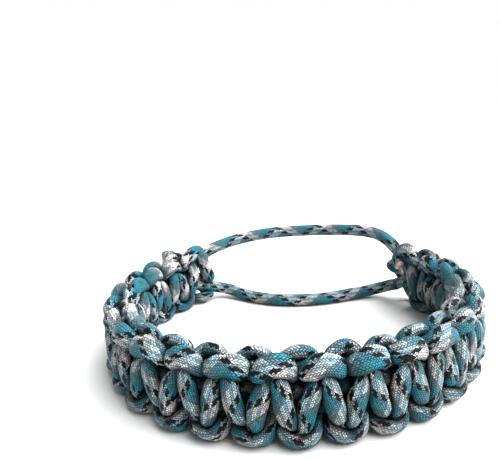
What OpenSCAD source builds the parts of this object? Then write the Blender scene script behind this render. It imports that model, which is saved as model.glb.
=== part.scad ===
// Bracelet woven from braided nylon cord in the cobra stitch.
// Two core strands run along the middle of the band. Two working strands
// are knotted round them: one crosses the outer face and one the inner face,
// and each hooks through the other's bends along both edges. The band stands
// on its lower edge, open at the back, where the two cores lie bare.

/* [Cord] */
// Thickness of a working strand where the knots press it
strand_d = 2.9; // [2.5:0.05:2.95]
// Thickness of a core strand inside the weave
core_d = 2.8; // [2.5:0.05:2.9]
// Diameter of the cord where it lies bare
cord_d = 4; // [3.5:0.1:4.2]

/* [Weave] */
// Height of the woven band from edge to edge
band_w = 20; // [20:0.1:21.5]
// Thickness of the woven band over the bars of both faces
band_t = 9; // [9:0.1:9.8]
// Length of band that one full knot takes
knot_pitch = 9.3; // [9.3:0.05:9.6]
// Number of full knots in the band
knots = 21; // [18:1:22]

/* [Ring] */
// Width of the ring from side to side, to the middle of the band
ring_w = 94; // [92:1:104]
// Depth of the ring from front to back, to the middle of the band
ring_d = 86; // [84:1:96]
// Distance along the ring from the first knot to the middle of the front
first_knot = 99; // [92:0.5:102]

/* [Loose end] */
// Height of the cut end that stands against the outer face by the first knot
cut_end_l = 11; // [8:0.5:13]
// How much wider its melted tip is than the cord
bead_extra = 0.4; // [0:0.1:0.8]

/* [Hidden] */

strand_sides = 6;
core_sides = 6;
bare_sides = 8;
// Clearance between two lengths of cord that lie end to end or side by side
gap = 0.3;

half_w = (band_w - strand_d) / 2;
half_t = (band_t - strand_d) / 2;
half_knots = 2 * knots;
middle_h = band_w / 2;

// The route of a working strand through half a knot, a row for each section.
// along is a share of knot_pitch, across of half_w and out of half_t.
// It starts in the middle of a bar on one face, climbs to the edge, bends
// round the other strand on the far side and comes back to the face.
// Columns: along, across, out
half_knot = [
    [-0.10, 0.10,  1.00],
    [-0.15, 0.60,  0.80],
    [-0.15, 0.75,  0.25],
    [ 0.00, 1.00, -0.50],
    [ 0.25, 1.00, -1.00],
    [ 0.55, 1.00, -1.00],
    [ 0.70, 0.75, -0.75],
    [ 0.70, 0.50, -0.40],
    [ 0.55, 0.50,  0.40],
    [ 0.50, 0.35,  0.90]];
// The first turn of each strand. They meet in the middle of a bar on the
// inner face, where the working cord's middle lies behind the cores.
inner_start = [
    [-0.60,  0.10, -1.00],
    [-0.65,  0.65, -1.00],
    [-0.75,  0.95, -0.50],
    [-0.60,  1.00,  0.30],
    [-0.30,  1.00,  0.95]];
outer_start = [
    [-0.60,  0.08, -1.00],
    [-0.60, -0.45, -1.00],
    [-0.45, -0.90, -1.00]];
// Where both strands are cut off, past their last bend
strand_end = [0.85, 0.90, -1.05];

// How far each core lies from the middle of the band near either end, where
// the upper one climbs to the edge before it comes out.
// along is in knot_pitch, from the first knot and from the last. away is in core_d.
// Columns: along, away
upper_at_start = [
    [-0.90, 2.90],
    [-0.60, 2.60],
    [-0.30, 1.35],
    [ 0.00, 0.55],
    [ 0.30, 0.52]];
lower_at_start = [
    [-0.90, 1.50],
    [-0.60, 1.10],
    [-0.30, 0.74],
    [ 0.00, 0.56],
    [ 0.30, 0.52]];
upper_at_end = [
    [-0.30, 0.52],
    [ 0.00, 0.95],
    [ 0.25, 1.95],
    [ 0.50, 2.65]];
lower_at_end = [
    [-0.30, 0.52],
    [ 0.00, 0.60],
    [ 0.25, 0.90],
    [ 0.50, 1.40]];
// Sections of a core along the weave, one every two strand thicknesses or so
core_sections = 27;

// The bare cords' routes between the ends of the band
upper_route = [
    [-27, 35.2, 19.7],
    [-21.5, 38.4, 20.8],
    [-14.5, 41.1, 21.6],
    [-6, 42.8, 22.1],
    [3, 43, 22.3],
    [12, 41.7, 22.6],
    [20, 38.8, 22.9],
    [26.2, 35.6, 23],
    [30.2, 32.9, 22.3],
    [33, 30.6, 20.8]];
lower_route = [
    [-27.6, 34.6, 4],
    [-24.4, 34.7, 3.2],
    [-21, 33.3, 2.5],
    [-17.2, 30.9, 2.2],
    [-11.5, 27.8, 2.1],
    [-4, 25.5, 2.1],
    [5, 25, 2.1],
    [13, 26.4, 2.1],
    [20, 28.7, 2.2],
    [25, 30.2, 2.4],
    [29, 30.9, 3],
    [32.4, 30.3, 4]];

// The ring's plan is an ellipse, measured by the distance along it from the
// middle of the front. ring_table turns that distance into an angle.
ring_step = 2;
ring_reach = 210;
function ring_point(a) = [ring_w / 2 * sin(a), -ring_d / 2 * cos(a)];
function ring_chord(a) = norm(ring_point(a + ring_step) - ring_point(a));
function ring_length(a, end) = a < end ? ring_chord(a) + ring_length(a + ring_step, end) : 0;
ring_table = [for (a = -ring_reach, far = -ring_length(0, ring_reach); a <= ring_reach;
    far = far + ring_chord(a), a = a + ring_step) [far, a]];

// A place in the band: distance along the ring, height over the middle of
// the band, and distance out from the ring's plan line
function on_ring(along, up, out) =
    let (a = lookup(along, ring_table), p = ring_point(a),
         n = unit([ring_d * sin(a), -ring_w * cos(a)]))
    [p[0] + out * n[0], p[1] + out * n[1], middle_h + up];

function unit(v) = v / norm(v);

// A row of a stitch table as a place in the band, counted from knot number from.
// side is 1 or -1 and mirrors the row to the other edge. face is 1 for the
// outer strand and -1 for the inner, which is the outer one turned half round.
function stitch(row, from, side, face) = on_ring(
    (from + row[0]) * knot_pitch - first_knot,
    -side * face * row[1] * half_w,
    face * row[2] * half_t);

// The rows first to last of the k-th half knot
function half_knot_rows(k, face, first = 0, last = 9) = [for (i = [first:last])
    stitch(half_knot[i], k / 2, k % 2 == 0 ? 1 : -1, face)];

// Everything from the first bar to the cut end
function woven_rows(face) = concat(
    [for (k = [0:half_knots - 2]) each half_knot_rows(k, face)],
    half_knot_rows(half_knots - 1, face, 0, 5),
    [stitch(strand_end, (half_knots - 1) / 2, -1, face)]);

outer_path = concat(
    [for (row = outer_start) stitch(row, 0, 1, 1)],
    half_knot_rows(-1, 1, 4, 9),
    woven_rows(1));
inner_path = concat(
    [for (row = inner_start) stitch([row[0], row[1], -row[2]], 0, -1, -1)],
    half_knot_rows(-1, -1, 5, 9),
    woven_rows(-1));

// A core's sections: how many knots along each lies, and how far from the
// middle of the band. side is 1 for the upper core and -1 for the lower.
function at_start(side) = side > 0 ? upper_at_start : lower_at_start;
function at_end(side) = side > 0 ? upper_at_end : lower_at_end;
function core_away(knot, side) = core_d * (knot < knots / 2
    ? lookup(knot, at_start(side))
    : lookup(knot - knots, at_end(side)));
function core_point(knot, side) =
    on_ring(knot * knot_pitch - first_knot, side * core_away(knot, side), 0);
function core_path(side) =
    let (first = at_start(side)[4][0], last = knots + at_end(side)[0][0])
    [for (knot = concat(
        [for (i = [0:3]) at_start(side)[i][0]],
        [for (i = [0:core_sections]) first + (last - first) * i / core_sections],
        [for (i = [1:3]) knots + at_end(side)[i][0]])) core_point(knot, side)];

// A bare cord starts and ends a gap past the ends of its core, square to it.
// way is -1 at the first knot and 1 at the last.
function past_end(side, way, past) =
    let (knot = way < 0 ? at_start(side)[0][0] : knots + at_end(side)[3][0],
         end = core_point(knot, side), before = core_point(knot - way * 0.1, side))
    end + past * unit(end - before);
function bare_path(route, side) = smooth(concat(
    [for (past = [gap, gap + cord_d / 2]) past_end(side, -1, past)],
    route,
    [for (past = [gap + cord_d / 2, gap]) past_end(side, 1, past)]));

// A smooth curve through the points of a route, with a section half way
// between each two
function smooth(p) = concat([for (i = [0:len(p) - 2]) each [p[i], half_way(p, i)]],
    [p[len(p) - 1]]);
function half_way(p, i) =
    let (before = i > 0 ? p[i - 1] : 2 * p[0] - p[1],
         after = i + 2 < len(p) ? p[i + 2] : 2 * p[i + 1] - p[i])
    (9 * (p[i] + p[i + 1]) - before - after) / 16;

// Directions along a route, and a cross direction carried along without twist
function directions(p) = [for (i = [0:len(p) - 1])
    unit((i + 1 < len(p) ? unit(p[i + 1] - p[i]) : [0, 0, 0])
       + (i > 0 ? unit(p[i] - p[i - 1]) : [0, 0, 0]))];
function square_to(n, t) = unit(n - (n * t) * t);
function cross_directions(t, start) = [for (i = 0, n = square_to(start, t[0]); i < len(t);
    n = i + 1 < len(t) ? square_to(n, t[i + 1]) : n, i = i + 1) n];

// A cord of the given thickness and number of sides along a route
module cord_along(p, d, sides, start = [0, 0, 1]) {
    t = directions(p);
    n = cross_directions(t, start);
    last = len(p) - 1;
    polyhedron(
        points = [for (i = [0:last], j = [0:sides - 1])
            p[i] + d / 2 * (cos(360 * j / sides) * n[i]
                          + sin(360 * j / sides) * cross(t[i], n[i]))],
        faces = concat(
            [[for (j = [0:sides - 1]) j]],
            [for (i = [0:last - 1], j = [0:sides - 1])
                [i * sides + j, (i + 1) * sides + j,
                 (i + 1) * sides + (j + 1) % sides, i * sides + (j + 1) % sides]],
            [[for (j = [sides - 1:-1:0]) last * sides + j]]),
        convexity = 10);
}

module outer_strand() {
    color("cadetblue") cord_along(outer_path, strand_d, strand_sides, [1, 0, 0]);
}

module inner_strand() {
    color("lightslategray") cord_along(inner_path, strand_d, strand_sides, [1, 0, 0]);
}

module upper_core() {
    color("silver") cord_along(core_path(1), core_d, core_sides);
}

module lower_core() {
    color("silver") cord_along(core_path(-1), core_d, core_sides);
}

module upper_bare_cord() {
    color("paleturquoise") cord_along(bare_path(upper_route, 1), cord_d, bare_sides);
}

module lower_bare_cord() {
    color("paleturquoise") cord_along(bare_path(lower_route, -1), cord_d, bare_sides);
}

// A cut end of cord that stands upright against the outer face, level with
// the band's upper edge, its tip melted round
module standing_cut_end() {
    against_face = half_t + (strand_d + cord_d) / 2 + gap;
    foot = on_ring(0.2 * knot_pitch - first_knot, band_w / 2 - cut_end_l, against_face);
    color("lightgray") translate(foot) {
        cylinder(h = cut_end_l - cord_d / 2, d = cord_d, $fn = 48);
        translate([0, 0, cut_end_l - cord_d / 2]) sphere(d = cord_d + bead_extra, $fn = 48);
    }
}

outer_strand();
inner_strand();
upper_core();
lower_core();
upper_bare_cord();
lower_bare_cord();
standing_cut_end();
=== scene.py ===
import math

import bpy
import numpy as np
from mathutils import Matrix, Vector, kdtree


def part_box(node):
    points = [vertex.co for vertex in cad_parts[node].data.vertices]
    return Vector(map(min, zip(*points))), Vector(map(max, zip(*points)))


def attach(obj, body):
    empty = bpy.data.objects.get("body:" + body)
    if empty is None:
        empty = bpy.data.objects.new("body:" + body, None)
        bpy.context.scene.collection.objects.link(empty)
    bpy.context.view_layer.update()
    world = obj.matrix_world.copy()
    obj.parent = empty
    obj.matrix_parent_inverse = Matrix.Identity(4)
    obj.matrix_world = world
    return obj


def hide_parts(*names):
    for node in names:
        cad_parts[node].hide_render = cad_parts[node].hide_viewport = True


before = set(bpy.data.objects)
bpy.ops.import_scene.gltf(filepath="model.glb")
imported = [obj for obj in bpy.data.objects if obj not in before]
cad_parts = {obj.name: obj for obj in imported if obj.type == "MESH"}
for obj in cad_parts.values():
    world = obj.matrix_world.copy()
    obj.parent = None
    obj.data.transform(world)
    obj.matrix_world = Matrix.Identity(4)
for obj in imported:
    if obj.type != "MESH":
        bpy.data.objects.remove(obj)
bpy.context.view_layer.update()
mm = 0.001


# The camera stands where the photograph's did, in front of the bracelet and
# above it, and looks down into the ring. It is rolled a little, as in a hand.
camera_place = (5.65 * mm, -119.45 * mm, 63.48 * mm)
camera_down = math.radians(19.03)
camera_heading = math.radians(-5.17)
camera_roll = math.radians(-3.67)
bpy.ops.object.camera_add(location=camera_place)
camera = bpy.context.object
camera.name = "photograph_camera"
camera.rotation_mode = "QUATERNION"
camera.rotation_quaternion = (
    Matrix.Rotation(-camera_heading, 3, "Z")
    @ Matrix.Rotation(math.pi / 2 - camera_down, 3, "X")
    @ Matrix.Rotation(camera_roll, 3, "Z")).to_quaternion()
camera.data.sensor_width = 36
camera.data.lens = 32.2
camera.data.shift_x = -0.04
camera.data.shift_y = 0.081
camera.data.clip_start = 5 * mm
bpy.context.scene.camera = camera

# A plain pale table in a soft studio. A very broad sun stands high on the
# right, with a weak light at the front left. The surround is pale low down
# and dims overhead.
table_size = 400
bpy.ops.mesh.primitive_plane_add(size=table_size)
table = bpy.context.object
table.name = "table"
table_paint = bpy.data.materials.new("white_table")
table_paint.use_nodes = True
table_shader = table_paint.node_tree.nodes["Principled BSDF"]
table_shader.inputs["Base Color"].default_value = (0.62, 0.62, 0.62, 1)
table_shader.inputs["Roughness"].default_value = 0.9
table.data.materials.append(table_paint)

sun_width = math.radians(80)
area_width = 0.4
for name, kind, place, power in (
        ("overhead_light", "SUN", (0.5, 0.0, 0.62), 10.5),
        ("front_light", "AREA", (-0.35, -0.5, 0.5), 0.3)):
    bpy.ops.object.light_add(type=kind, location=place)
    light = bpy.context.object
    light.name = name
    light.data.energy = power
    light.rotation_euler = (-light.location).to_track_quat("-Z", "Y").to_euler()
    if kind == "SUN":
        light.data.angle = sun_width
    else:
        light.data.size = area_width

surround = bpy.data.worlds.new("pale_surround")
surround.use_nodes = True
sky = surround.node_tree
sky_place = sky.nodes.new("ShaderNodeTexCoord")
sky_height = sky.nodes.new("ShaderNodeSeparateXYZ")
sky_light = sky.nodes.new("ShaderNodeMapRange")
for socket, value in (("From Min", 0.35), ("From Max", 0.6), ("To Min", 1.0), ("To Max", 0.35)):
    sky_light.inputs[socket].default_value = value
sky.links.new(sky_place.outputs["Generated"], sky_height.inputs[0])
sky.links.new(sky_height.outputs["Z"], sky_light.inputs["Value"])
sky.nodes["Background"].inputs["Color"].default_value = (1, 1, 1, 1)
sky.links.new(sky_light.outputs["Result"], sky.nodes["Background"].inputs["Strength"])
bpy.context.scene.world = surround
bpy.context.scene.view_settings.view_transform = "Standard"
bpy.context.scene.view_settings.gamma = 0.82


# The upper bare cord bridges the open back of the ring. It is braided nylon
# 4 mm thick, and bows up and back between the two ends of the band, where it
# goes in to become the upper core. Its route is in millimetres.
cord_d = 4 * mm
cord_sides = 20
upper_route = [(-31.3, 32.1, 18.2), (-29.8, 33.3, 18.9),
               (-27, 35.2, 19.7), (-21.5, 38.4, 20.8), (-14.5, 41.1, 21.6), (-6, 42.8, 22.1),
               (3, 43, 22.3), (12, 41.7, 22.6), (20, 38.8, 22.9), (26.2, 35.6, 23),
               (30.2, 32.9, 22.3), (33, 30.6, 20.8), (34.9, 28.8, 19), (36, 27.6, 17.8)]


def unit(v):
    return v / np.linalg.norm(v, axis=-1, keepdims=True)


def through(points, steps):
    """A smooth curve through the points, with the given steps from each to the next."""
    p = np.array(points, float)
    p = np.vstack([2 * p[0] - p[1], p, 2 * p[-1] - p[-2]])
    t = np.arange(steps)[:, None, None] / steps
    a, b, c, d = p[:-3], p[1:-2], p[2:-1], p[3:]
    curve = 0.5 * (2 * b + (c - a) * t + (2 * a - 5 * b + 4 * c - d) * t ** 2
                   + (3 * b - a - 3 * c + d) * t ** 3)
    return np.vstack([curve.transpose(1, 0, 2).reshape(-1, p.shape[1]), p[-2]])


def along_line(line):
    """Distance along a line at each of its points."""
    return np.concatenate([[0], np.cumsum(np.linalg.norm(np.diff(line, axis=0), axis=1))])


def cross_section_axes(line):
    """Direction of the line, and two axes square to it carried along without twist."""
    ahead = unit(np.gradient(line, axis=0))
    first = np.empty_like(line)
    upright = abs(ahead[0][2]) > 0.9
    n = np.array([1.0, 0, 0]) if upright else np.array([0, 0, 1.0])
    for i, t in enumerate(ahead):
        n = n - n.dot(t) * t
        n = n / np.linalg.norm(n)
        first[i] = n
    return ahead, first, np.cross(ahead, first)


end_rings = 3      # shrinking rings that round off each end of a cord
end_length = 0.35  # how far a rounded end stands out, as a share of the radius


def sheath(name, line, radii, deep=0):
    """A closed tube of braided sheath round a line, with a radius for each of its
    rings and sides. Its UV map runs once round the cord, and along it in cord
    circumferences. The last argument is the painted shade of each point, 0 to 1,
    which darkens its colour where cords press together far down in the knots."""
    ahead, first, second = cross_section_axes(line)
    sides = radii.shape[1]
    turn = 2 * np.pi * np.arange(sides) / sides
    spoke = (first[:, None] * np.cos(turn)[:, None] + second[:, None] * np.sin(turn)[:, None])
    points = line[:, None] + spoke * radii[:, :, None]
    # each end closes through its shrinking rings to a pole
    closing = np.linspace(0, math.pi / 2, end_rings + 2)[1:-1]
    tip = radii.mean(axis=1)[[0, -1]] * end_length
    start = [line[0] - ahead[0] * tip[0] * out + spoke[0] * radii[0][:, None] * size
             for out, size in zip(np.sin(closing), np.cos(closing))][::-1]
    end = [line[-1] + ahead[-1] * tip[1] * out + spoke[-1] * radii[-1][:, None] * size
           for out, size in zip(np.sin(closing), np.cos(closing))]
    points = np.concatenate([np.array(start), points, np.array(end)])
    rings = len(points)
    corner = np.arange(rings * sides).reshape(rings, sides)
    following = np.roll(corner, -1, axis=1)
    quads = np.stack([corner[:-1], following[:-1], following[1:], corner[1:]], axis=-1)
    poles = [line[0] - ahead[0] * tip[0], line[-1] + ahead[-1] * tip[1]]
    low, high = rings * sides, rings * sides + 1
    faces = quads.reshape(-1, 4).tolist()
    faces += [[low, int(following[0][j]), int(corner[0][j])] for j in range(sides)]
    faces += [[high, int(corner[-1][j]), int(following[-1][j])] for j in range(sides)]
    mesh = bpy.data.meshes.new(name)
    mesh.from_pydata(np.concatenate([points.reshape(-1, 3), poles]).tolist(), [], faces)
    around = np.arange(sides + 1) / sides
    down = along_line(points.mean(axis=1)) / (math.pi * cord_d)
    square = np.empty((rings - 1, sides, 4, 2))
    for k, (u, v) in enumerate(((around[:-1], down[:-1]), (around[1:], down[:-1]),
                                (around[1:], down[1:]), (around[:-1], down[1:]))):
        square[:, :, k] = np.stack(np.broadcast_arrays(u, v[:, None]), -1)
    fans = [[(around[j] + 0.5 / sides, down[r]), (around[j + a], down[r]), (around[j + b], down[r])]
            for r, a, b in ((0, 1, 0), (-1, 0, 1)) for j in range(sides)]
    mesh.uv_layers.new(name="braid").data.foreach_set(
        "uv", np.concatenate([square.reshape(-1, 2), np.array(fans).reshape(-1, 2)]).ravel())
    # painted shade for each point, kept as an attribute that darkens the colour; the rounded ends get
    # none
    shadow = np.zeros((rings, sides))
    shadow[end_rings:rings - end_rings] = deep
    mesh.attributes.new("deep", "FLOAT", "POINT").data.foreach_set(
        "value", np.concatenate([shadow.ravel(), [0, 0]]))
    mesh.polygons.foreach_set("use_smooth", [True] * len(mesh.polygons))
    mesh.update()
    piece = bpy.data.objects.new(name, mesh)
    bpy.context.collection.objects.link(piece)
    return piece


class Wire:
    """A socket of a material. Arithmetic on wires adds Math nodes."""

    def __init__(self, tree, socket):
        self.tree = tree
        self.socket = socket

    def node(self, kind, settings, inputs, output=0):
        """A new node of this kind. Its settings are set first, then its inputs."""
        made = self.tree.nodes.new(kind)
        for key, value in settings.items():
            if key == "stops":
                for stop in value[2:]:
                    made.color_ramp.elements.new(stop[0])
                for element, (place, colour) in zip(made.color_ramp.elements, value):
                    element.position = place
                    element.color = (*colour, 1)
            elif key == "interpolation":
                made.color_ramp.interpolation = value
            else:
                setattr(made, key, value)
        for key, value in inputs.items():
            if isinstance(value, Wire):
                self.tree.links.new(value.socket, made.inputs[key])
            else:
                made.inputs[key].default_value = value
        return Wire(self.tree, made.outputs[output])

    def math(self, operation, *values):
        return self.node("ShaderNodeMath", {"operation": operation}, dict(enumerate(values)))

    def __add__(self, other):
        return self.math("ADD", self, other)

    def __radd__(self, other):
        return self.math("ADD", other, self)

    def __sub__(self, other):
        return self.math("SUBTRACT", self, other)

    def __rsub__(self, other):
        return self.math("SUBTRACT", other, self)

    def __mul__(self, other):
        return self.math("MULTIPLY", self, other)

    def __rmul__(self, other):
        return self.math("MULTIPLY", other, self)

    def __truediv__(self, other):
        return self.math("DIVIDE", self, other)

    def __rtruediv__(self, other):
        return self.math("DIVIDE", other, self)

    def __mod__(self, other):
        return self.math("FLOORED_MODULO", self, other)

    def __rmod__(self, other):
        return self.math("FLOORED_MODULO", other, self)

    def __lt__(self, other):
        return self.math("LESS_THAN", self, other)

    def __gt__(self, other):
        return self.math("GREATER_THAN", self, other)

    def floor(self):
        return self.math("FLOOR", self)

    def pick(self, yes, no):
        """yes where this wire is 1 and no where it is 0."""
        return no + self * (yes - no)

    def mix(self, first, second):
        """The first colour where this wire is 0 and the second where it is 1."""
        return self.node("ShaderNodeMix", {"data_type": "RGBA"},
                         {"Factor": self, 6: first, 7: second}, 2)


def srgb(red, green, blue):
    """A colour seen on a screen, 0 to 255, as the light that it stands for."""
    return tuple(((c / 255 + 0.055) / 1.055) ** 2.4 for c in (red, green, blue))


yarns_round = 16      # coloured yarns that run each way round the cord
float_repeat = 4      # yarns in which the braid repeats, over two and under two
# How many yarns of each colour lie side by side, in their order round the braid
yarn_colours = [(6, srgb(182, 182, 183)), (2, srgb(106, 101, 107)),
                (4, srgb(58, 105, 110)), (4, srgb(40, 117, 135))]
yarn_black = srgb(6, 8, 14)
black_yarns = 2
black_beside = 0.22   # how far a float of the black yarns swells sideways
black_beyond = 0.22   # and at its ends, both in yarns
showing = 0.26        # how much of the lower yarn's colour shows through the upper one
bare_pitch = 15.2 * mm      # length in which a yarn goes once round the cord
knotted_pitch = 12.6 * mm   # the same where the cord is pressed short in the knots
stitches_to_yarn = 1.5      # the raised stitches are finer than the bands of colour
relief = 0.17 * mm
painted_groove_light, painted_bead_light = 0.26, 1.25   # painted light in the grooves, and the painted light that a bead's top adds
grain_light, grain_range = 0.72, 0.56   # least light of a yarn's crossing, and its spread
painted_shade_strength = 0.92     # how much the painted shade darkens the cord where it is fullest, far down in the knots
melted_nylon = srgb(176, 162, 150)
melt_rise = 12        # the nylon is wholly melted a twelfth of a circumference on
melt_groove = 3       # depth of the groove where the braid meets the melted bead, in the bump and in the painted shade


def braided_nylon(name, turn, start, pitch, melt_at=None):
    """Camouflage cord: a braid of coloured yarns both ways round, every one floating
    over two of the others. turn and start say where round and along the cord the
    black yarns cross, in turns and in braid pitches. Beyond melt_at, in cord
    circumferences, the nylon is melted to a smooth pale bead."""
    yarn_long = pitch / yarns_round / (math.pi * cord_d)
    paint = bpy.data.materials.new(name)
    paint.use_nodes = True
    tree = paint.node_tree
    shader = tree.nodes["Principled BSDF"]
    shader.inputs["Roughness"].default_value = 0.38
    shader.inputs["Specular IOR Level"].default_value = 0.22
    made = Wire(tree, None)
    uv = made.node("ShaderNodeUVMap", {"uv_map": "braid"}, {})
    round_cord = made.node("ShaderNodeSeparateXYZ", {}, {"Vector": uv}, 0)
    down = made.node("ShaderNodeSeparateXYZ", {}, {"Vector": uv}, 1)
    around = round_cord * yarns_round - turn * yarns_round
    along = down / yarn_long - start * yarns_round
    # which yarn of each way this is, and which of the two lies on top
    right = along + around + 0.5
    left = along - around + 0.5
    right_yarn = right.floor()
    left_yarn = left.floor()
    right_on_top = ((right_yarn - left_yarn) % float_repeat) < 1.5   # at 0 and 1 of the 4
    # the raised stitches: far runs 0 to 2 along a float and beside 0 to 1 across it
    right_stitch = right * stitches_to_yarn
    left_stitch = left * stitches_to_yarn
    right_raised = ((right_stitch.floor() - left_stitch.floor()) % float_repeat) < 1.5
    far = right_raised.pick((left_stitch - right_stitch.floor() + 1) % float_repeat,
                            (right_stitch - left_stitch.floor() - 2) % float_repeat)
    beside = right_raised.pick(right_stitch - right_stitch.floor(),
                               left_stitch - left_stitch.floor())
    stops = [(sum(count for count, _ in yarn_colours[:n]) / yarns_round, colour)
             for n, (_, colour) in enumerate(yarn_colours)]
    right_dye, left_dye = (
        made.node("ShaderNodeValToRGB", {"stops": stops, "interpolation": "CONSTANT"},
                  {"Fac": (yarn % yarns_round + 0.5) / yarns_round})
        for yarn in (right_yarn, left_yarn))
    dyed = (right_on_top * (1 - 2 * showing) + showing).mix(left_dye, right_dye)
    # two yarns side by side each way are black, and swell a little over the others
    black_right, black_left = (
        ((own + black_beside) % yarns_round < black_yarns + 2 * black_beside)
        * ((over + black_beyond) % float_repeat < 2 + 2 * black_beyond)
        for own, over in ((right, left + 1 - right_yarn), (left, right - 2 - left_yarn)))
    dyed = made.math("MAXIMUM", black_right, black_left).mix(dyed, (*yarn_black, 1))
    # each stitch is a rounded bead in the bump, and its colour is painted darker in the grooves round
    # it and lighter on its top
    bead = (1 - (beside * 2 - 1) * (beside * 2 - 1)) * (1 - (far - 1) * (far - 1))
    if melt_at is not None:
        melted = made.math("MAXIMUM", made.math("MINIMUM", (down - melt_at) * melt_rise, 1), 0)
        dyed = melted.mix(dyed, (*melted_nylon, 1))
        bead = melted.pick(1.0, bead) * (1 - melted * (1 - melted) * melt_groove)
    grain = made.node("ShaderNodeTexWhiteNoise", {"noise_dimensions": "2D"}, {
        "Vector": made.node("ShaderNodeCombineXYZ", {}, {0: right_yarn, 1: left_yarn})})
    # the painted shade, darker where cords press together in the knots
    deep = made.node("ShaderNodeAttribute", {"attribute_name": "deep"}, {}, 2)
    # the colour is painted with light and shade: dark in the grooves, light on the beads' tops and
    # dark where cords press together; grain is each crossing's own random tone
    light = ((painted_groove_light + painted_bead_light * bead) * (grain_light + grain_range * grain)
             * (1 - deep * painted_shade_strength))
    colour = made.node("ShaderNodeVectorMath", {"operation": "SCALE"}, {0: dyed, "Scale": light})
    tree.links.new(colour.socket, shader.inputs["Base Color"])
    bump = made.node("ShaderNodeBump", {}, {"Height": bead, "Distance": relief, "Strength": 1.0})
    tree.links.new(bump.socket, shader.inputs["Normal"])
    return paint


upper_line = through(upper_route, 8) * mm
upper_bare_cord = sheath("upper_bare_cord_sheath", upper_line,
                         np.full((len(upper_line), cord_sides), cord_d / 2))
upper_bare_cord.data.materials.append(braided_nylon("braided_cord_upper", 0.02, -0.11, bare_pitch))
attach(upper_bare_cord, "root")
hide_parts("upper_bare_cord")


# The lower bare cord is the same cord. It comes out of the band low down and
# lies on the table in a shallow bend into the ring. Its route is in millimetres.
lower_route = [(-31.3, 32.1, 5.7), (-29.8, 33.3, 5),
               (-27.6, 34.6, 4), (-24.4, 34.7, 3.2), (-21, 33.3, 2.5), (-17.2, 30.9, 2.2),
               (-11.5, 27.8, 2.1), (-4, 25.5, 2.1), (5, 25, 2.1), (13, 26.4, 2.1),
               (20, 28.7, 2.2), (25, 30.2, 2.4), (29, 30.9, 3), (32.4, 30.3, 4),
               (34.7, 29, 5.1), (36, 27.7, 5.8)]
lower_line = through(lower_route, 6) * mm
lower_bare_cord = sheath("lower_bare_cord_sheath", lower_line,
                         np.full((len(lower_line), cord_sides), cord_d / 2))
lower_bare_cord.data.materials.append(braided_nylon("braided_cord_lower", 0.4, 0.3, bare_pitch))
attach(lower_bare_cord, "root")
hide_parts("lower_bare_cord")


# The two working strands are tied round the cores in the cobra stitch. The
# outer strand's bars zigzag over the outer face and the inner strand's over
# the inner face, and each hooks round the other's bends at both edges.
knot_pitch = 9.3 * mm
knots = 21
first_knot = 99 * mm
ring_w = 94 * mm
ring_d = 86 * mm
band_w = 20 * mm
band_t = 9 * mm
spread = 0.13   # how far the lower half of the band leans out
line_steps = 6  # points of a line from one row of a stitch table to the next

# The route of a working strand through half a knot and how the knot presses it.
# along is a share of knot_pitch, up of band_w / 2 and out of band_t / 2.
# wide and thick are the pressed strand's half sizes as shares of cord_d.
# The last three columns give the way its flat side faces.
# Columns: along, up, out, wide, thick, face along, face up, face out
half_knot = [
    (-0.10,  0.08,  0.68, 0.58, 0.45, 0.0,  0.0, 1.0),
    (-0.17,  0.46,  0.60, 0.50, 0.38, 0.0,  0.3, 0.9),
    (-0.18,  0.61,  0.24, 0.46, 0.34, 0.2,  0.8, 0.6),
    (-0.13,  0.65, -0.16, 0.50, 0.34, -0.6, 0.5, -0.5),
    (-0.01,  0.71, -0.45, 0.62, 0.37, -0.4, 0.5, -0.8),
    ( 0.14,  0.77, -0.56, 0.76, 0.38, -0.1, 0.5, -0.8),
    ( 0.34,  0.79, -0.58, 0.82, 0.38, 0.1,  0.5, -0.8),
    ( 0.53,  0.74, -0.52, 0.74, 0.37, 0.3,  0.5, -0.8),
    ( 0.66,  0.62, -0.26, 0.54, 0.36, 0.7,  0.2, -0.6),
    ( 0.68,  0.50,  0.18, 0.44, 0.36, 0.7,  0.3, 0.3),
    ( 0.56,  0.32,  0.61, 0.54, 0.43, 0.0,  0.1, 1.0)]
# Each strand's first rows and its last ones, with the same columns
inner_start = [
    (-0.66,  0.09, -0.64, 0.52, 0.40, 0.0,  0.0, -1.0),
    (-0.78,  0.50, -0.60, 0.50, 0.38, 0.0,  0.3, -0.9),
    (-0.97,  0.73, -0.28, 0.52, 0.38, 0.4,  0.8, -0.6),
    (-0.90,  0.75,  0.25, 0.56, 0.38, 0.0,  1.0,  0.0),
    (-0.54,  0.75,  0.52, 0.62, 0.37, 0.0,  0.4,  0.9)]
outer_start = [
    (-0.52,  0.04,  0.28, 0.48, 0.40, 0.0,  0.0, 1.0),
    (-0.82,  0.10,  0.02, 0.54, 0.42, 1.0,  0.0, 0.4),
    (-0.92,  0.00, -0.42, 0.58, 0.44, 1.0,  0.0, -0.6),
    (-0.70, -0.36, -0.62, 0.62, 0.42, 0.4,  0.2, -0.9),
    (-0.64, -0.78, -0.54, 0.60, 0.42, 0.3,  0.4, -0.9),
    (-0.62, -0.98, -0.22, 0.58, 0.42, 0.0,  1.0, 0.2),
    (-0.46, -0.99, -0.20, 0.62, 0.42, 0.0,  1.0, 0.2),
    (-0.16, -0.88, -0.42, 0.68, 0.38, 0.0,  0.6, 0.8),
    ( 0.08, -0.74, -0.46, 0.66, 0.36, 0.3,  0.6, 0.8)]
outer_end = [
    ( 0.36,  0.95, -0.58, 0.76, 0.50, 0.0,  0.5, -0.8),
    ( 0.62,  0.93, -0.66, 0.66, 0.46, 0.3,  0.4, -0.8),
    ( 0.74,  0.74, -0.84, 0.54, 0.42, 0.5,  0.1, -0.8),
    ( 0.64,  0.56, -1.00, 0.48, 0.40, 0.4,  0.0, -0.9),
    ( 0.50,  0.48, -1.08, 0.44, 0.36, 0.0,  0.0, -1.0)]
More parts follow.
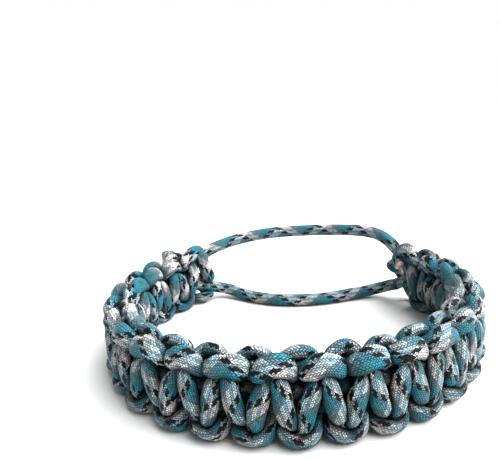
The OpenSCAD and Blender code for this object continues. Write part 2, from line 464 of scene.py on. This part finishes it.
inner_end = [
    ( 0.66,  0.70, -0.66, 0.60, 0.40, 0.3,  0.3, -0.9),
    ( 0.93,  0.42, -0.72, 0.50, 0.40, 0.5,  0.2, -0.8),
    ( 1.06, -0.02, -0.30, 0.48, 0.42, 0.9,  0.1, -0.2),
    ( 1.10, -0.22,  0.22, 0.50, 0.44, 0.9,  0.0,  0.3),
    ( 1.05, -0.34,  0.60, 0.50, 0.46, 0.5,  0.0,  0.8)]
# The knots were pulled up by hand, and those at the front lie a little to the
# right of their even places. Columns: distance along the ring, how far to the right
hand_pull = np.array([(-110, 0), (-60, 0), (-36, 0.4), (-22, 1.7), (0, 1.9),
                      (14, 1.4), (28, 0.6), (45, 0.2), (110, 0)]) * mm

# The ring's plan is an ellipse, followed both ways from the middle of its front
# and far enough past the back for both ends of the band
ring_half = 420
ring_angle = np.radians(np.linspace(-210, 210, 2 * ring_half + 1))
ring_plan = np.stack([ring_w / 2 * np.sin(ring_angle), -ring_d / 2 * np.cos(ring_angle)], axis=1)
ring_far = along_line(ring_plan) - along_line(ring_plan)[ring_half]


def on_ring(band):
    """Places in the band, distance along the ring, height over its middle and
    distance out, as points."""
    angle = np.interp(band[:, 0], ring_far, ring_angle)
    out = unit(np.stack([ring_d * np.sin(angle), -ring_w * np.cos(angle)], axis=1))
    return np.stack([ring_w / 2 * np.sin(angle) + band[:, 2] * out[:, 0],
                     -ring_d / 2 * np.cos(angle) + band[:, 2] * out[:, 1],
                     band_w / 2 + band[:, 1]], axis=1)


def turned(rows, start, side, face):
    """Rows of a stitch table in place. side mirrors them to the other edge, and
    face turns them half round for the inner strand."""
    r = np.array(rows, float)
    r[:, 0] = (start + r[:, 0]) * knot_pitch - first_knot
    r[:, [1, 6]] *= -side * face
    r[:, [2, 7]] *= face
    r[:, 1] *= band_w / 2
    r[:, 2] *= band_t / 2
    r[:, 2] -= spread * np.minimum(r[:, 1], 0)
    return r


def half_knot_rows(k, face, first=0, last=10):
    return turned(half_knot[first:last + 1], k / 2, 1 if k % 2 == 0 else -1, face)


def strand_rows(face, start_rows, end_rows, first_row, last_row):
    """All rows of one strand, from where it starts to its cut end. It joins the
    half knot before the first at first_row and leaves the last one at last_row."""
    last = 2 * knots - 1
    rows = [turned(start_rows, 0, face, face), half_knot_rows(-1, face, first_row)]
    rows += [half_knot_rows(k, face) for k in range(last)]
    rows += [half_knot_rows(last, face, 0, last_row), turned(end_rows, last / 2, -1, face)]
    return np.vstack(rows)


# How far tying by hand moves a row along, up and out, and changes its wide and thick
hand_amount = np.array([0.2 * mm, 0.2 * mm, 0.12 * mm, 0.02, 0.02, 0, 0, 0])
hand_most = 2       # the largest difference, in those amounts
hand_shared = 1.7   # adding a row's differences to the next ones' makes them this much larger
hand = np.random.default_rng(11)


def uneven(rows):
    """The rows with the small differences of hand tying."""
    wobble = hand.normal(size=rows.shape)
    wobble = (wobble + np.roll(wobble, 1, axis=0) + np.roll(wobble, -1, axis=0)) / hand_shared
    rows = rows + np.clip(wobble, -hand_most, hand_most) * hand_amount
    rows[:, 0] += np.interp(rows[:, 0], hand_pull[:, 0], hand_pull[:, 1])
    return rows


def strand(rows):
    """Line of a strand and the half sizes and flat side of its pressed section."""
    dense = through(rows, line_steps)
    line = on_ring(dense[:, :3])
    # a place a little way out from the flat side gives the way that it faces
    toward = on_ring(dense[:, :3] + unit(dense[:, 5:8]) * 0.1 * mm)
    for _ in range(2):
        line[1:-1] = (line[:-2] + 2 * line[1:-1] + line[2:]) / 4
    return line, dense[:, 3] * cord_d, dense[:, 4] * cord_d, unit(toward - line)


strands = {"outer_strand": strand(uneven(strand_rows(1, outer_start, outer_end, 8, 5))),
           "inner_strand": strand(uneven(strand_rows(-1, inner_start, inner_end, 6, 6)))}

# The cores' lines come before the strands' shapes, because the strands press on
# them. They lie one above the other in the middle of the band.
# Columns: knots from the first or last, and distance from the middle in shares of cord_d
core_away = 0.36
core_ends = {
    "upper_core": (1, [(-0.90, 2.03), (-0.60, 1.82), (-0.30, 0.95), (0.00, 0.39), (0.30, core_away)],
                   [(-0.30, core_away), (0.00, 0.67), (0.25, 1.37), (0.50, 1.86)]),
    "lower_core": (-1, [(-0.90, 1.05), (-0.60, 0.77), (-0.30, 0.52), (0.00, 0.39), (0.30, core_away)],
                   [(-0.30, core_away), (0.00, 0.42), (0.25, 0.63), (0.50, 0.98)])}
core_radius = ([5 * mm, 10 * mm], [0.5 * cord_d, 0.7 * cord_d])   # by distance from its end
for name, (side, at_start, at_end) in core_ends.items():
    rows = at_start + [(k, core_away) for k in np.arange(0.8, knots - 0.7, 0.5)]
    rows += [(knots + k, away) for k, away in at_end]
    band = np.array([(k * knot_pitch - first_knot, side * away * cord_d, 0) for k, away in rows])
    line = on_ring(through(band, line_steps))
    far = along_line(line)
    size = np.interp(np.minimum(far, far[-1] - far), *core_radius)
    strands[name] = (line, size, size, np.tile([0, 0, 1.0], (len(line), 1)))

# Soft cords that touch press each other flat half way between their middles
lines = [line for line, *_ in strands.values()] + [upper_line, lower_line]
nearby = kdtree.KDTree(sum(len(line) for line in lines))
owner = []
for number, line in enumerate(lines):
    for far, point in zip(along_line(line), line):
        nearby.insert(point, len(owner))
        owner.append((number, far, *point))
nearby.balance()
owner = np.array(owner)
reach = 7 * mm          # how near another cord's middle has to be to press
same_cord = 5.5 * mm    # length of the same cord, each way, that doesn't press a section
no_limit = 1.0          # stands for nothing in the way, a metre off
tiny = 1e-9             # keeps divisions off zero
clear = 0.99            # share of the room up to the half-way plane or the table that is filled
least_radius = 0.3 * mm
corner_power = 9.0      # how sharply the round section turns into the flat one
shade_at = 1.4          # painted shade starts where the half-way plane to a neighbour is this many radii off, and is full where it is this much nearer
shade_over = 0.6        # and is wholly dark where it is this much nearer


def pressed(name, sides):
    """Radii of a strand's rings where its neighbours and the table press it, and
    the painted shade of each point, fuller where neighbours press close."""
    number = list(strands).index(name)
    line, wide, thick, flat = strands[name]
    ahead, first, second = cross_section_axes(line)
    far = along_line(line)
    turn = 2 * np.pi * np.arange(sides) / sides
    radii = np.empty((len(line), sides))
    deep = np.zeros((len(line), sides))
    table_far = np.zeros((len(line), sides))
    for i, centre in enumerate(line):
        spoke = first[i] * np.cos(turn)[:, None] + second[i] * np.sin(turn)[:, None]
        lean = flat[i] - flat[i].dot(ahead[i]) * ahead[i]
        lean = lean / max(np.linalg.norm(lean), tiny)
        through_flat = (spoke @ lean) ** 2
        own = 1 / np.sqrt(through_flat / thick[i] ** 2 + (1 - through_flat) / wide[i] ** 2)
        found = owner[[index for _, index, _ in nearby.find_range(centre, reach)]]
        found = found[(found[:, 0] != number) | (abs(found[:, 1] - far[i]) > same_cord)]
        limit = np.full(sides, no_limit)
        if len(found):
            gap = found[:, 2:] - centre
            toward = spoke @ gap.T
            share = (gap ** 2).sum(axis=1) / np.where(toward > tiny, 2 * toward, tiny)
            limit = np.where(toward > tiny, share, no_limit).min(axis=1)
        down = -spoke[:, 2]
        table_far[i] = np.where(down > tiny, centre[2] / np.maximum(down, tiny), no_limit)
        limit = np.maximum(np.minimum(limit, table_far[i]) * clear, least_radius)
        radii[i] = (own ** -corner_power + limit ** -corner_power) ** (-1 / corner_power)
        # painted shade: the colour darkens where a neighbour's half-way plane comes close
        deep[i] = np.clip(shade_at - limit / own, 0, shade_over) / shade_over
    for _ in range(2):
        for values in (radii, deep):
            values[1:-1] = (values[:-2] + 2 * values[1:-1] + values[2:]) / 4
            values[:] = (np.roll(values, 1, axis=1) + 2 * values + np.roll(values, -1, axis=1)) / 4
    return np.minimum(radii, table_far), deep


melted_length = 0.11   # of the outer strand's cut end, in cord circumferences
for name, turn, start in (("outer_strand", 0.1, 0.2), ("inner_strand", 0.6, 0.7)):
    piece = sheath(name + "_sheath", strands[name][0], *pressed(name, cord_sides))
    melt_at = None
    if name == "outer_strand":
        melt_at = max(uv.uv[1] for uv in piece.data.uv_layers["braid"].data) - melted_length
    piece.data.materials.append(braided_nylon(
        "braided_" + name, turn, start, knotted_pitch, melt_at=melt_at))
    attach(piece, "root")
    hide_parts(name)


# The two cores are the same cord, hidden in the band but for glimpses between
# the bars and a short length at each end. Painted shade darkens them further in.
core_sides = 16
# the cores' painted shade: none near their ends, growing further into the band
core_dark_length = 9 * mm
core_light_end = 0.6   # how many of those lengths stay free of painted shade
core_most_dark = 0.7
for name, turn, start in (("upper_core", 0.0, 0.0), ("lower_core", 0.5, 0.5)):
    radii, deep = pressed(name, core_sides)
    far = along_line(strands[name][0])
    from_end = np.minimum(far, far[-1] - far)
    core_painted_shade = np.clip(from_end / core_dark_length - core_light_end, 0, core_most_dark)
    piece = sheath(name + "_sheath", strands[name][0], radii, np.maximum(deep, core_painted_shade[:, None]))
    piece.data.materials.append(braided_nylon("braided_" + name, turn, start, knotted_pitch))
    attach(piece, "root")
    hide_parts(name)


# A cut end of the same cord stands against the outer face by the first knot,
# where it was trimmed. Its tip is rounded off so that it doesn't fray.
cut_low, cut_high = (np.array(c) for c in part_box("standing_cut_end"))
cut_middle = (cut_low + cut_high) / 2
cut_rings = 14
cut_foot = 0.4 * mm     # from the bottom of its box to its first ring
cut_top = 1.2 * mm      # from its last ring to the top of its box
cut_lean = (0.8 * mm, 0, 0.8 * mm)
cut_half_wide = 2.5 * mm
cut_half_thick = 2.0 * mm
cut_line = np.array([(cut_middle[0], cut_middle[1], z)
                     for z in np.linspace(cut_low[2] + cut_foot, cut_high[2] - cut_top, cut_rings)])
cut_line += np.linspace(0, 1, cut_rings)[:, None] * cut_lean
cut_turn = 2 * np.pi * np.arange(cord_sides) / cord_sides
cut_radii = np.tile(np.hypot(cut_half_wide * np.cos(cut_turn), cut_half_thick * np.sin(cut_turn)),
                    (cut_rings, 1))
cut_end = sheath("standing_cut_end_sheath", cut_line, cut_radii)
cut_end.data.materials.append(braided_nylon("braided_cut_end", 0.1, 0.85, bare_pitch))
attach(cut_end, "root")
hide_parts("standing_cut_end")
